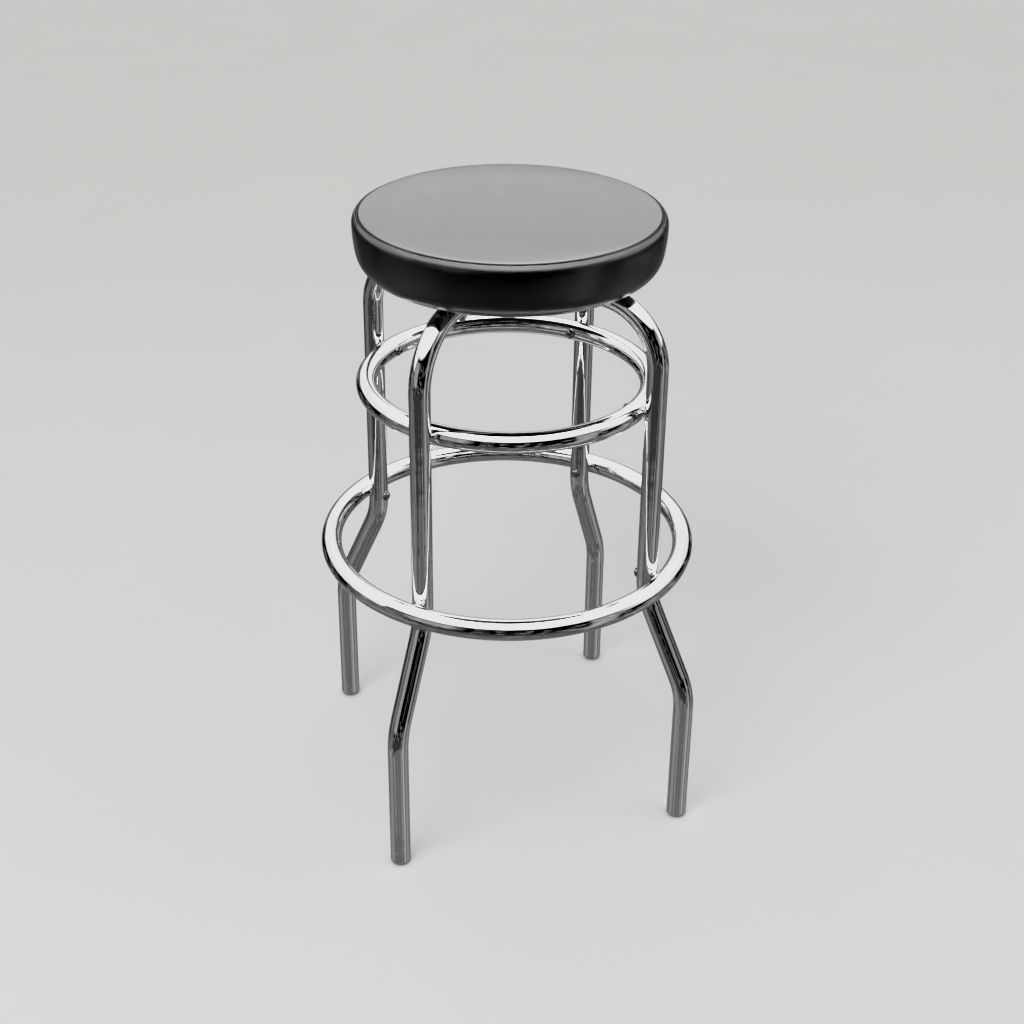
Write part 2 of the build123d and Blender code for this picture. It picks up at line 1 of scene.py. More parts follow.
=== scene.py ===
# %% [markdown]
# Bar stool with two tube rings
#
# The engineering model gives every rigid piece at its real size. This script dresses it:
# it makes the padded seat, the dust cover and the seam as new pieces, gives every piece
# its finish, and sets up a plain studio. Everything is in metres, with the origin on the
# floor under the middle of the seat.

import json
import math

import bpy
from mathutils import Matrix, Vector, noise


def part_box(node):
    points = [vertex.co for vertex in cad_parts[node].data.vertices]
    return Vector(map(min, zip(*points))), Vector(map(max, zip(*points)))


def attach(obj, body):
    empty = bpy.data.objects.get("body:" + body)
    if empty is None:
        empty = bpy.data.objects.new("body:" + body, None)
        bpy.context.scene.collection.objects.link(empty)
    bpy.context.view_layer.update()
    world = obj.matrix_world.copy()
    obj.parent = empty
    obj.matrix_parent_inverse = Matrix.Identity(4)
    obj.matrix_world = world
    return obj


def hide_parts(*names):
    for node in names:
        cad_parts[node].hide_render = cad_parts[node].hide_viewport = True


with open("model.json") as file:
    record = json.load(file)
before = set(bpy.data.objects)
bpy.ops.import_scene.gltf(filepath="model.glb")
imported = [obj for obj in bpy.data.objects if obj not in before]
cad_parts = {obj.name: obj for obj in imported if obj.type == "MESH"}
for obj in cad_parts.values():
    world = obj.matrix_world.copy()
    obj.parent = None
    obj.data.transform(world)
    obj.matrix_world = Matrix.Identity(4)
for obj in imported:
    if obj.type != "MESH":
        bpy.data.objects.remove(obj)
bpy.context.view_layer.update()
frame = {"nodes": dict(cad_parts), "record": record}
nodes = frame["nodes"]
MM = 0.001
print("CAD nodes:", len(nodes))


# %% Small helpers for modelling
def deselect():
    """Nothing is selected, so that the next operator acts only on what it is given."""
    if bpy.context.object and bpy.context.object.mode != "OBJECT":
        bpy.ops.object.mode_set(mode="OBJECT")
    bpy.ops.object.select_all(action="DESELECT")


def take(piece):
    """Make one piece the only selected and active one."""
    deselect()
    piece.select_set(True)
    bpy.context.view_layer.objects.active = piece


def edit(piece):
    take(piece)
    bpy.ops.object.mode_set(mode="EDIT")


def choose(piece, test, mode="VERT"):
    """In edit mode, select the vertices, edges or faces whose middle passes the test."""
    bpy.ops.object.mode_set(mode="OBJECT")
    mesh = piece.data
    for part in (mesh.vertices, mesh.edges, mesh.polygons):
        part.foreach_set("select", [False] * len(part))
    if mode == "VERT":
        for vertex in mesh.vertices:
            vertex.select = test(vertex.co)
    elif mode == "EDGE":
        for edge in mesh.edges:
            ends = [mesh.vertices[i].co for i in edge.vertices]
            edge.select = all(test(end) for end in ends)
    else:
        for face in mesh.polygons:
            face.select = test(face.center)
    bpy.ops.object.mode_set(mode="EDIT")
    bpy.ops.mesh.select_mode(type=mode)


def extrude_rings(rings):
    """Extrude the selected circle through rings of (radius, level). It already lies on the first."""
    radius, level = rings[0]
    for next_radius, next_level in rings[1:]:
        scale = next_radius / radius
        bpy.ops.mesh.extrude_region()
        bpy.ops.transform.resize(value=(scale, scale, 1), center_override=(0, 0, 0))
        bpy.ops.transform.translate(value=(0, 0, next_level - level))
        radius, level = next_radius, next_level


def from_axis(point):
    """Distance of a point from the upright axis of the stool."""
    return math.hypot(point.x, point.y)


def around_axis(point):
    """Angle of a point round the upright axis of the stool."""
    return math.atan2(point.y, point.x)


def apply_modifier(piece, kind, **settings):
    take(piece)
    modifier = piece.modifiers.new(kind.title(), kind)
    for name, value in settings.items():
        setattr(modifier, name, value)
    bpy.ops.object.modifier_apply(modifier=modifier.name)


def finish_shape(piece, name, body):
    """Name a finished piece, put its origin at the world's, shade it smooth, and let it ride."""
    take(piece)
    bpy.ops.object.transform_apply(location=True, rotation=True, scale=True)
    bpy.ops.object.shade_smooth()
    piece.name = name
    piece.data.name = name
    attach(piece, body)
    print(name, len(piece.data.polygons), "faces")


# %% [markdown]
# The padded seat
#
# The seat is a foam pad on a round board, covered with two pieces of vinyl: a round top
# panel and a side band, sewn together just inside the edge. The band is pulled down over
# the foam and stapled under the board. It could be turned as a solid, but then it would
# look turned. Here a blank of the cover is made ring by ring from a circle, and a cloth
# simulation with pressure inside lets the foam push it out between the seam and the
# staples, where it is held.

# %% Sizes of the seat
board_low, board_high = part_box("seat_board")
band_low, band_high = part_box("seat_side_band")
panel_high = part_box("seat_top_panel")[1]
seat_radius = band_high.x
seam_radius = panel_high.x
crown_level = panel_high.z
rim_level = band_low.z
board_level = board_low.z

SKIN = 1.2 * MM
SHOULDER_RADIUS = 12.0 * MM
SHOULDER_LEVEL = 36.2 * MM + board_high.z
SIDE_RADIUS = 190.0 * MM
SIDE_TAPER = math.radians(11)
ROLL_RADIUS = 8.0 * MM
FLANGE_WIDTH = 18.0 * MM
STITCHES = 208                        # a stitch every 5.4 mm
SWELL = 1.6 * MM                      # how far the foam pushes the side out
SAME_PLACE = 0.01 * MM
SAME_LEVEL = 0.1 * MM
print("seat radius", round(seat_radius, 4), "seam radius", round(seam_radius, 4))


# %% The outline of the cover, from the seam down to the staples
def arc(centre, radius, start, end, count):
    """Points on an arc in the plane of radius and height, without its first point."""
    points = []
    for i in range(1, count + 1):
        angle = start + (end - start) * i / count
        points.append((centre[0] + radius * math.cos(angle), centre[1] + radius * math.sin(angle)))
    return points


def cover_outline(inset):
    """The side of the cover, from the seam to the inner end of the stapled flange."""
    shoulder = (seat_radius - SHOULDER_RADIUS, SHOULDER_LEVEL)
    seam_angle = math.acos((seam_radius - shoulder[0]) / SHOULDER_RADIUS)
    side = (seat_radius - SIDE_RADIUS, SHOULDER_LEVEL)
    side_end = (
        side[0] + SIDE_RADIUS * math.cos(SIDE_TAPER),
        side[1] - SIDE_RADIUS * math.sin(SIDE_TAPER),
    )
    lower_radius = (side_end[1] - rim_level) / (1 - math.sin(SIDE_TAPER))
    lower = (
        side_end[0] - lower_radius * math.cos(SIDE_TAPER),
        side_end[1] + lower_radius * math.sin(SIDE_TAPER),
    )
    roll = (lower[0], rim_level + ROLL_RADIUS)
    quarter = math.pi / 2
    points = arc(shoulder, SHOULDER_RADIUS - inset, seam_angle, 0, 4)
    points += arc(side, SIDE_RADIUS - inset, 0, -SIDE_TAPER, 5)
    points += arc(lower, lower_radius - inset, -SIDE_TAPER, -quarter, 6)
    points += arc(roll, ROLL_RADIUS - inset, -quarter, -2 * quarter, 4)
    flange = roll[0] - ROLL_RADIUS
    points.append((flange, board_level - SKIN))
    points.append((flange - FLANGE_WIDTH / 2, board_level - SKIN))
    points.append((flange - FLANGE_WIDTH, board_level - SKIN))
    return points, (seam_radius, shoulder[1] + SHOULDER_RADIUS * math.sin(seam_angle))


outline, seam_point = cover_outline(SWELL)
seam_level = seam_point[1]
print("rings in the side of the cover:", len(outline))

# %% Make the blank of the cover, ring by ring
deselect()
bpy.ops.mesh.primitive_circle_add(
    vertices=STITCHES, radius=seam_radius, location=(0, 0, seam_level), fill_type="NOTHING"
)
cover = bpy.context.object
bpy.ops.object.transform_apply(location=True)
edit(cover)
bpy.ops.mesh.select_all(action="SELECT")
extrude_rings([seam_point] + outline)


def on_seam(point):
    return abs(from_axis(point) - seam_radius) < SAME_PLACE and abs(point.z - seam_level) < SAME_PLACE


# A few rings follow the seam inside the panel, and a square grid fills the rest.
PANEL_RINGS = (0.0, 3.6 * MM, 8.0 * MM, 14.0 * MM, 22.0 * MM)
choose(cover, on_seam, "EDGE")
extrude_rings([(seam_radius - inwards, seam_level) for inwards in PANEL_RINGS])
bpy.ops.mesh.fill_grid(span=STITCHES // 4)
bpy.ops.mesh.select_all(action="SELECT")
bpy.ops.mesh.normals_make_consistent(inside=False)
bpy.ops.object.mode_set(mode="OBJECT")
print("cover blank:", len(cover.data.vertices), "vertices")

# %% Give the top panel its crown before it is inflated
PANEL_PUSH = 2.2 * MM                 # what is left for the foam to push
EDGE_ROUNDING = 5                     # higher is flatter in the middle
start_crown = crown_level - seam_level - PANEL_PUSH
for vertex in cover.data.vertices:
    share = from_axis(vertex.co) / seam_radius
    if share < 0.9999 and vertex.co.z > seam_level - SAME_LEVEL:
        vertex.co.z = seam_level + start_crown * (1 - share**EDGE_ROUNDING)
print("crown before inflating:", round(start_crown / MM, 2), "mm")

# %% Hold the seam and the stapled flange
held = cover.vertex_groups.new(name="held")
flange_edge = outline[-3][0]
for vertex in cover.data.vertices:
    stapled = vertex.co.z < board_level + SAME_LEVEL and from_axis(vertex.co) < flange_edge + SAME_LEVEL
    if stapled or on_seam(vertex.co):
        held.add([vertex.index], 1.0, "REPLACE")

# %% Inflate the cover as the foam does
CLOTH_FRAMES = 20
before = [vertex.co.copy() for vertex in cover.data.vertices]
take(cover)
cloth = cover.modifiers.new("Cloth", "CLOTH")
cloth.settings.vertex_group_mass = "held"
cloth.settings.quality = 6
cloth.settings.mass = 0.25
cloth.settings.tension_stiffness = 30
cloth.settings.compression_stiffness = 30
cloth.settings.bending_stiffness = 1.5
cloth.settings.use_pressure = True
cloth.settings.uniform_pressure_force = 4
cloth.settings.effector_weights.gravity = 0
cloth.point_cache.frame_start = 1
cloth.point_cache.frame_end = CLOTH_FRAMES
for step in range(1, CLOTH_FRAMES + 1):
    bpy.context.scene.frame_set(step)
bpy.ops.object.modifier_apply(modifier=cloth.name)
bpy.context.scene.frame_set(1)

# %% Cap how far the foam may push, and even out the surface
most = 0.0
for vertex, rest in zip(cover.data.vertices, before):
    move = vertex.co - rest
    most = max(most, move.length)
    if move.length > 0:
        cap = PANEL_PUSH if vertex.co.z > seam_level else SWELL
        vertex.co = rest + move.normalized() * cap * math.tanh(move.length / cap)
print("largest push of the foam:", round(most / MM, 2), "mm")

UNEVENNESS = 0.3 * MM
FADE_WIDTH = 25 * MM                  # the unevenness dies away towards the seam
for vertex in cover.data.vertices:
    if vertex.co.z > seam_level:
        fade = min(1.0, (seam_radius - from_axis(vertex.co)) / FADE_WIDTH)
        vertex.co.z += UNEVENNESS * fade * noise.noise(vertex.co * 16)

# %% [markdown]
# The seam
#
# The panel and the band are sewn face to face and turned, so both edges roll down into a
# narrow groove, and the stitches pull small puckers into the band beside it. The cover is
# cut in two along the seam, each edge is rolled in, and the puckers are put in one stitch
# at a time.


# %% Cut the cover into panel and band
def in_panel(point):
    return point.z > seam_level - 0.5 * MM and from_axis(point) < seam_radius - 0.2 * MM


choose(cover, in_panel, "FACE")
bpy.ops.mesh.separate(type="SELECTED")
bpy.ops.object.mode_set(mode="OBJECT")
panel = [o for o in bpy.context.selected_objects if o != cover][0]
band = cover
print("panel faces:", len(panel.data.polygons), "band faces:", len(band.data.polygons))

# %% Roll both edges down into the seam
SEAM_HALF_WIDTH = 1.7 * MM
SEAM_DEPTH = 3.2 * MM
PANEL_EDGE_DROP = 0.2 * MM
BAND_EDGE_DROP = 1.3 * MM             # the band is sewn in lower than the panel


def roll_edge(piece, side, drop):
    """Turn the edge at the seam down. side is -1 for the panel, inside the seam, and 1 for the band."""
    choose(piece, on_seam, "EDGE")
    scale = (seam_radius + side * SEAM_HALF_WIDTH) / seam_radius
    bpy.ops.transform.resize(value=(scale, scale, 1), center_override=(0, 0, 0))
    bpy.ops.transform.translate(value=(0, 0, -drop))
    for _ in range(2):
        bpy.ops.mesh.extrude_region()
        bpy.ops.transform.translate(value=(0, 0, -SEAM_DEPTH / 2))
    bpy.ops.object.mode_set(mode="OBJECT")


roll_edge(panel, -1, PANEL_EDGE_DROP)
roll_edge(band, 1, BAND_EDGE_DROP)
for piece in (panel, band):
    apply_modifier(piece, "SOLIDIFY", thickness=SKIN, offset=-1, use_even_offset=False)
    apply_modifier(piece, "SUBSURF", levels=1, render_levels=1)

# %% Raise the band beside the seam
# The foam swells up between the seam and the shoulder, most of all close to the seam.
BULGE_HEIGHT = 0.7 * MM
BULGE_WIDTH = 9.0 * MM
LEAN = 0.6                            # below 1, the highest point is nearer to the seam
for vertex in band.data.vertices:
    outside = from_axis(vertex.co) - seam_radius - SEAM_HALF_WIDTH
    if vertex.co.z > SHOULDER_LEVEL and outside < BULGE_WIDTH:
        across = max(0.0, outside / BULGE_WIDTH)
        vertex.co.z += BULGE_HEIGHT * math.sin(across**LEAN * math.pi)
print("band raised by up to", BULGE_HEIGHT / MM, "mm")

# %% Pull the stitches tight
PUCKER_DEPTH = 0.9 * MM
PUCKER_REACH = 10.0 * MM
shoulder_centre = seat_radius - SHOULDER_RADIUS
for piece, side, strength in ((panel, -1, 0.25), (band, 1, 1.0)):
    for vertex in piece.data.vertices:
        away = side * (from_axis(vertex.co) - seam_radius) / PUCKER_REACH
        if vertex.co.z > SHOULDER_LEVEL and 0 < away < 1:
            angle = around_axis(vertex.co)
            spoke = Vector((math.cos(angle), math.sin(angle), 0))
            uneven = 0.75 + 0.9 * noise.noise(spoke * 12)
            fade = math.sin(math.pi * away**LEAN)
            stitch = 0.5 - 0.5 * math.cos(STITCHES * angle)
            middle = spoke * shoulder_centre + Vector((0, 0, SHOULDER_LEVEL))
            inwards = (middle - vertex.co).normalized()
            vertex.co += inwards * (PUCKER_DEPTH * strength * uneven * fade * stitch)
print("puckers:", STITCHES)

# %% Gather the band where it is stapled
GATHERS = 72
GATHER_DEPTH = 0.35 * MM
GATHER_REACH = 9 * MM
GATHER_FADE = 8 * MM
for vertex in band.data.vertices:
    radius = from_axis(vertex.co)
    inside = flange_edge + GATHER_REACH - radius
    if vertex.co.z < board_level and inside > 0:
        angle = around_axis(vertex.co)
        wander = 2.5 * noise.noise(Vector((math.cos(angle), math.sin(angle), 3)) * 3)
        swell = GATHER_DEPTH * min(1.0, inside / GATHER_FADE) * math.cos(GATHERS * angle + wander)
        vertex.co.x *= 1 + swell / radius
        vertex.co.y *= 1 + swell / radius

# %% Finish the two pieces of the cover
finish_shape(panel, "seat_cover_top", "seat")
finish_shape(band, "seat_cover_side", "seat")
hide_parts("seat_top_panel")
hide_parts("seat_side_band", "seat_foam", "edge_roll")

# %% [markdown]
# The thread
#
# A lockstitch thread runs along the bottom of the groove, dipping into the vinyl at every
# stitch. A thin ring is waved up and down once per stitch.

# %% Lay the thread in the seam
THREAD_RADIUS = 0.3 * MM
THREAD_DEPTH = 2.2 * MM
STITCH_DIP = 0.5 * MM
deselect()
bpy.ops.mesh.primitive_torus_add(
    major_segments=STITCHES * 4,
    minor_segments=6,
    major_radius=seam_radius,
    minor_radius=THREAD_RADIUS,
    location=(0, 0, seam_level - THREAD_DEPTH),
)
thread = bpy.context.object
bpy.ops.object.transform_apply(location=True)
for vertex in thread.data.vertices:
    vertex.co.z -= STITCH_DIP * (0.5 - 0.5 * math.cos(STITCHES * around_axis(vertex.co)))
finish_shape(thread, "seam_thread", "seat")

# %% [markdown]
# The dust cover
#
# A sheet of non-woven fabric is stapled under the board, over the end of the vinyl. It is
# flat where the swivel plate pinches it and slack between the staples at its edge. A
# circle is extruded outwards in rings that follow the board and the step over the vinyl.

# %% Make the dust cover
cover_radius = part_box("dust_cover")[1].x
HOLE_RADIUS = 15.0 * MM
STAPLES = 24
SHEET_THICKNESS = 0.35 * MM
STEP_WIDTH = 6 * MM                   # where the sheet leaves the board to pass over the vinyl
SAG = 0.5 * MM                        # of the edge between two staples
EDGE_PULL = 0.008                     # share of the radius by which that edge draws in
flat_level = board_level - SHEET_THICKNESS
lap_level = board_level - SKIN - SHEET_THICKNESS
step_radius = flange_edge - FLANGE_WIDTH
flat_end = step_radius - STEP_WIDTH
rings = [(HOLE_RADIUS + (flat_end - HOLE_RADIUS) * i / 8, flat_level) for i in range(9)]
rings += [(step_radius - STEP_WIDTH / 2, flat_level - 0.15 * MM), (step_radius, lap_level)]
rings += [(step_radius + (cover_radius - step_radius) * i / 4, lap_level) for i in range(1, 5)]
deselect()
bpy.ops.mesh.primitive_circle_add(
    vertices=STAPLES * 8, radius=rings[0][0], location=(0, 0, rings[0][1]), fill_type="NOTHING"
)
dust_cover = bpy.context.object
bpy.ops.object.transform_apply(location=True)
edit(dust_cover)
bpy.ops.mesh.select_all(action="SELECT")
extrude_rings(rings)
bpy.ops.mesh.select_all(action="SELECT")
bpy.ops.mesh.normals_make_consistent(inside=False)
bpy.ops.object.mode_set(mode="OBJECT")
for vertex in dust_cover.data.vertices:
    slack = max(0.0, (from_axis(vertex.co) - step_radius) / (cover_radius - step_radius))
    between = 0.5 - 0.5 * math.cos(STAPLES * around_axis(vertex.co))
    vertex.co.z -= SAG * slack**2 * between
    vertex.co.x *= 1 - EDGE_PULL * slack**2 * between
    vertex.co.y *= 1 - EDGE_PULL * slack**2 * between
apply_modifier(dust_cover, "SOLIDIFY", thickness=SHEET_THICKNESS, offset=0)
finish_shape(dust_cover, "dust_cover_sheet", "seat")
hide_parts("dust_cover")


# %% [markdown]
# Finishes
#
# Every material is worked out by nodes. Colours are written as hex values, as a paint
# chart gives them, and one function turns them to the linear values that the renderer
# uses. Patterns read Object coordinates, in metres, so a grain of one millimetre has a
# scale of 1000.


# %% Colour and node helpers
def hex_colour(code):
    """Linear RGBA from an sRGB hex code."""
    channels = []
    for i in (1, 3, 5):
        value = int(code[i : i + 2], 16) / 255
        channels.append(value / 12.92 if value <= 0.04045 else ((value + 0.055) / 1.055) ** 2.4)
    return (*channels, 1.0)


def add_node(tree, kind, inputs=None, **settings):
    """Add a node, set its properties, and set or link its inputs by name or number."""
    made = tree.nodes.new(kind)
    for name, value in settings.items():
        setattr(made, name, value)
    for key, value in (inputs or {}).items():
        if isinstance(value, bpy.types.NodeSocket):
            tree.links.new(value, made.inputs[key])
        else:
            made.inputs[key].default_value = value
    return made


def new_finish(name, **shader_inputs):
    """A material with one Principled shader. Returns the material, its tree, shader and coordinates."""
    finish = bpy.data.materials.new(name)
    finish.use_nodes = True
    tree = finish.node_tree
    shader = tree.nodes["Principled BSDF"]
    for key, value in shader_inputs.items():
        shader.inputs[key.replace("_", " ")].default_value = value
    place = add_node(tree, "ShaderNodeTexCoord").outputs["Object"]
    return finish, tree, shader, place


def per_metre(size_mm):
    """Texture scale for a feature of this size."""
    return 1000.0 / size_mm


# %% [markdown]
# Chrome plate
#
# Decorative chrome is a thin plate over nickel on polished steel tube. It mirrors the room
# with a slightly cool tint. Polishing leaves the tube very faintly wavy, which makes the
# reflections run in uneven streaks along it, and handling leaves faint smears.


# %% Chrome
def chrome(name, roughness, light="#e9eaed", dark="#dfe0e3"):
    finish, tree, shader, place = new_finish(name, Metallic=1.0, Roughness=roughness)
    smears = add_node(
        tree, "ShaderNodeTexNoise", {"Vector": place, "Scale": per_metre(35), "Detail": 5, "Roughness": 0.6}
    )
    tint = add_node(
        tree, "ShaderNodeMix",
        {"Factor": smears.outputs["Fac"], 6: hex_colour(light), 7: hex_colour(dark)},
        data_type="RGBA",
    )
    tree.links.new(tint.outputs[2], shader.inputs["Base Color"])
    haze = add_node(
        tree, "ShaderNodeMapRange",
        {"Value": smears.outputs["Fac"], "From Min": 0.45, "From Max": 0.75,
         "To Min": roughness, "To Max": roughness + 0.05},
    )
    tree.links.new(haze.outputs["Result"], shader.inputs["Roughness"])
    waves = add_node(
        tree, "ShaderNodeTexNoise", {"Vector": place, "Scale": per_metre(26), "Detail": 2, "Roughness": 0.4}
    )
    bump = add_node(tree, "ShaderNodeBump", {"Height": waves.outputs["Fac"], "Distance": 0.35 * MM})
    tree.links.new(bump.outputs["Normal"], shader.inputs["Normal"])
    return finish


chrome_tube = chrome("chrome_plate_on_steel_tube", 0.04)
bright_nickel = chrome("bright_nickel_plate", 0.16, "#97989d", "#84868b")

# %% [markdown]
# Upholstery vinyl
#
# Black vinyl is a glossy skin of PVC on a knitted back. Its colour is nearly black, so
# almost all that the eye sees is the reflected light, softened by a fine embossed grain.

# %% Black vinyl
GRAIN_MM = 0.9
black_vinyl, tree, shader, place = new_finish(
    "black_upholstery_vinyl", Roughness=0.34, IOR=1.54, Coat_Weight=0.85, Coat_Roughness=0.24
)
patches = add_node(tree, "ShaderNodeTexNoise", {"Vector": place, "Scale": per_metre(60), "Detail": 3})
tone = add_node(
    tree, "ShaderNodeMix",
    {"Factor": patches.outputs["Fac"], 6: hex_colour("#050507"), 7: hex_colour("#08080c")},
    data_type="RGBA",
)
tree.links.new(tone.outputs[2], shader.inputs["Base Color"])
cells = add_node(
    tree, "ShaderNodeTexVoronoi", {"Vector": place, "Scale": per_metre(GRAIN_MM)}, feature="SMOOTH_F1"
)
fine = add_node(tree, "ShaderNodeTexNoise", {"Vector": place, "Scale": per_metre(0.35), "Detail": 3})
grain = add_node(
    tree, "ShaderNodeMath", {0: cells.outputs["Distance"], 1: fine.outputs["Fac"]}, operation="ADD"
)
bump = add_node(
    tree, "ShaderNodeBump", {"Height": grain.outputs[0], "Distance": 0.03 * MM, "Strength": 0.6}
)
tree.links.new(bump.outputs["Normal"], shader.inputs["Normal"])
gloss = add_node(
    tree, "ShaderNodeMapRange",
    {"Value": patches.outputs["Fac"], "From Min": 0.3, "From Max": 0.7, "To Min": 0.31, "To Max": 0.38},
)
tree.links.new(gloss.outputs["Result"], shader.inputs["Roughness"])

# %% [markdown]
# Small hardware, plastic, plywood, foam and cloth
#
# Zinc plate is a satin metal with a faint mottle. The swivel plates are powder coated,
# with the fine orange peel of melted powder. The glides are moulded polyethylene. The
# board is birch plywood, whose plies show as bands at its edge and whose face shows long
# grain. The foam has open cells, and the dust cover is pressed fibre.

# %% Zinc plate and bearing steel
zinc_plate, tree, shader, place = new_finish("zinc_plated_steel", Metallic=1.0, Roughness=0.3)
mottle = add_node(tree, "ShaderNodeTexNoise", {"Vector": place, "Scale": per_metre(4), "Detail": 6})
tint = add_node(
    tree, "ShaderNodeMix",
    {"Factor": mottle.outputs["Fac"], 6: hex_colour("#b9bcc2"), 7: hex_colour("#d2d0c6")},
    data_type="RGBA",
)
tree.links.new(tint.outputs[2], shader.inputs["Base Color"])
bump = add_node(
    tree, "ShaderNodeBump", {"Height": mottle.outputs["Fac"], "Distance": 0.02 * MM, "Strength": 0.5}
)
tree.links.new(bump.outputs["Normal"], shader.inputs["Normal"])

bearing_steel, tree, shader, place = new_finish("ground_bearing_steel", Metallic=1.0)
lines = add_node(tree, "ShaderNodeTexNoise", {"Vector": place, "Scale": per_metre(0.8), "Detail": 4})
tint = add_node(
    tree, "ShaderNodeMix",
    {"Factor": lines.outputs["Fac"], 6: hex_colour("#c9cbce"), 7: hex_colour("#dcdddf")},
    data_type="RGBA",
)
tree.links.new(tint.outputs[2], shader.inputs["Base Color"])
shader.inputs["Roughness"].default_value = 0.12

# %% Powder coat
powder_coat, tree, shader, place = new_finish("black_powder_coat", Roughness=0.45)
peel = add_node(tree, "ShaderNodeTexNoise", {"Vector": place, "Scale": per_metre(1.6), "Detail": 2})
tint = add_node(
    tree, "ShaderNodeMix",
    {"Factor": peel.outputs["Fac"], 6: hex_colour("#141416"), 7: hex_colour("#1c1c1f")},
    data_type="RGBA",
)
tree.links.new(tint.outputs[2], shader.inputs["Base Color"])
bump = add_node(tree, "ShaderNodeBump", {"Height": peel.outputs["Fac"], "Distance": 0.06 * MM})
tree.links.new(bump.outputs["Normal"], shader.inputs["Normal"])

# %% Moulded polyethylene
polyethylene, tree, shader, place = new_finish("moulded_grey_polyethylene", Roughness=0.42, IOR=1.5)
pits = add_node(tree, "ShaderNodeTexNoise", {"Vector": place, "Scale": per_metre(0.7), "Detail": 4})
scuffs = add_node(tree, "ShaderNodeTexNoise", {"Vector": place, "Scale": per_metre(6), "Detail": 6})
tint = add_node(
    tree, "ShaderNodeMix",
    {"Factor": scuffs.outputs["Fac"], 6: hex_colour("#5c5d60"), 7: hex_colour("#77787b")},
    data_type="RGBA",
)
tree.links.new(tint.outputs[2], shader.inputs["Base Color"])
bump = add_node(tree, "ShaderNodeBump", {"Height": pits.outputs["Fac"], "Distance": 0.03 * MM})
tree.links.new(bump.outputs["Normal"], shader.inputs["Normal"])

# %% Birch plywood
PLY_MM = 1.7
plywood, tree, shader, place = new_finish("birch_plywood", Roughness=0.6)
stretch = add_node(tree, "ShaderNodeMapping", {"Vector": place, "Scale": (1, 14, 14)})
long_grain = add_node(
    tree, "ShaderNodeTexNoise", {"Vector": stretch.outputs[0], "Scale": per_metre(45), "Detail": 6}
)
plies = add_node(
    tree, "ShaderNodeTexWave",
    {"Vector": place, "Scale": per_metre(PLY_MM) / 20, "Distortion": 0.4},
    bands_direction="Z",
)
face = add_node(
    tree, "ShaderNodeMix",
    {"Factor": long_grain.outputs["Fac"], 6: hex_colour("#c9a877"), 7: hex_colour("#a9834f")},
    data_type="RGBA",
)
layered = add_node(
    tree, "ShaderNodeMix",
    {"Factor": plies.outputs["Fac"], 6: face.outputs[2], 7: hex_colour("#8a6a42")},
    data_type="RGBA",
)
tree.links.new(layered.outputs[2], shader.inputs["Base Color"])
bump = add_node(tree, "ShaderNodeBump", {"Height": long_grain.outputs["Fac"], "Distance": 0.08 * MM})
tree.links.new(bump.outputs["Normal"], shader.inputs["Normal"])

# %% Polyurethane foam and non-woven fabric
foam, tree, shader, place = new_finish("cut_polyurethane_foam", Roughness=0.95)
cells = add_node(tree, "ShaderNodeTexVoronoi", {"Vector": place, "Scale": per_metre(1.4)})
tint = add_node(
    tree, "ShaderNodeMix",
    {"Factor": cells.outputs["Distance"], 6: hex_colour("#c9bd8d"), 7: hex_colour("#efe6c0")},
    data_type="RGBA",
)
tree.links.new(tint.outputs[2], shader.inputs["Base Color"])
bump = add_node(tree, "ShaderNodeBump", {"Height": cells.outputs["Distance"], "Distance": 0.5 * MM})
tree.links.new(bump.outputs["Normal"], shader.inputs["Normal"])

non_woven, tree, shader, place = new_finish("non_woven_dust_cover", Roughness=0.9)
fibres = add_node(
    tree, "ShaderNodeTexNoise", {"Vector": place, "Scale": per_metre(2.2), "Detail": 8, "Distortion": 1.5}
)
tint = add_node(
    tree, "ShaderNodeMix",
    {"Factor": fibres.outputs["Fac"], 6: hex_colour("#0c0c0d"), 7: hex_colour("#232325")},
    data_type="RGBA",
)
tree.links.new(tint.outputs[2], shader.inputs["Base Color"])
bump = add_node(tree, "ShaderNodeBump", {"Height": fibres.outputs["Fac"], "Distance": 0.15 * MM})
tree.links.new(bump.outputs["Normal"], shader.inputs["Normal"])

# %% Give every piece its finish
finish_of_slot = {
    "chrome_tube": chrome_tube,
    "bright_screws": bright_nickel,
    "zinc_steel": zinc_plate,
    "black_plate": powder_coat,
    "bearing_steel": bearing_steel,
    "glide_plastic": polyethylene,
    "black_vinyl": black_vinyl,
    "plywood": plywood,
    "foam": foam,
    "cambric": non_woven,
}


def give(piece, finish):
    piece.data.materials.clear()
    piece.data.materials.append(finish)


for subpart in frame["record"]["subparts"]:
    give(nodes[subpart["node"]], finish_of_slot[subpart["material_slot"]])
for piece in (panel, band, thread):
    give(piece, black_vinyl)
give(dust_cover, non_woven)

# %% [markdown]
# The studio
#
# A mirror-bright object is lit by what it reflects. The floor is plain and pale. The
# lamps are large and soft. The reflections come from the world: bright overhead, dark
# round the horizon as in a darkened studio, grey near the floor, with a few tall soft
# strips that draw streaks down the legs.

# %% Floor
deselect()
bpy.ops.mesh.primitive_plane_add(size=120, location=(0, 0, 0))
floor = bpy.context.object
floor.name = "floor"
floor.visible_glossy = False
paper, tree, shader, place = new_finish("studio_paper", Roughness=0.85)
mottle = add_node(tree, "ShaderNodeTexNoise", {"Vector": place, "Scale": 3.0, "Detail": 3})
tint = add_node(
    tree, "ShaderNodeMix",
    {"Factor": mottle.outputs["Fac"], 6: hex_colour("#d6d6d4"), 7: hex_colour("#dadad8")},
    data_type="RGBA",
)
tree.links.new(tint.outputs[2], shader.inputs["Base Color"])
give(floor, paper)

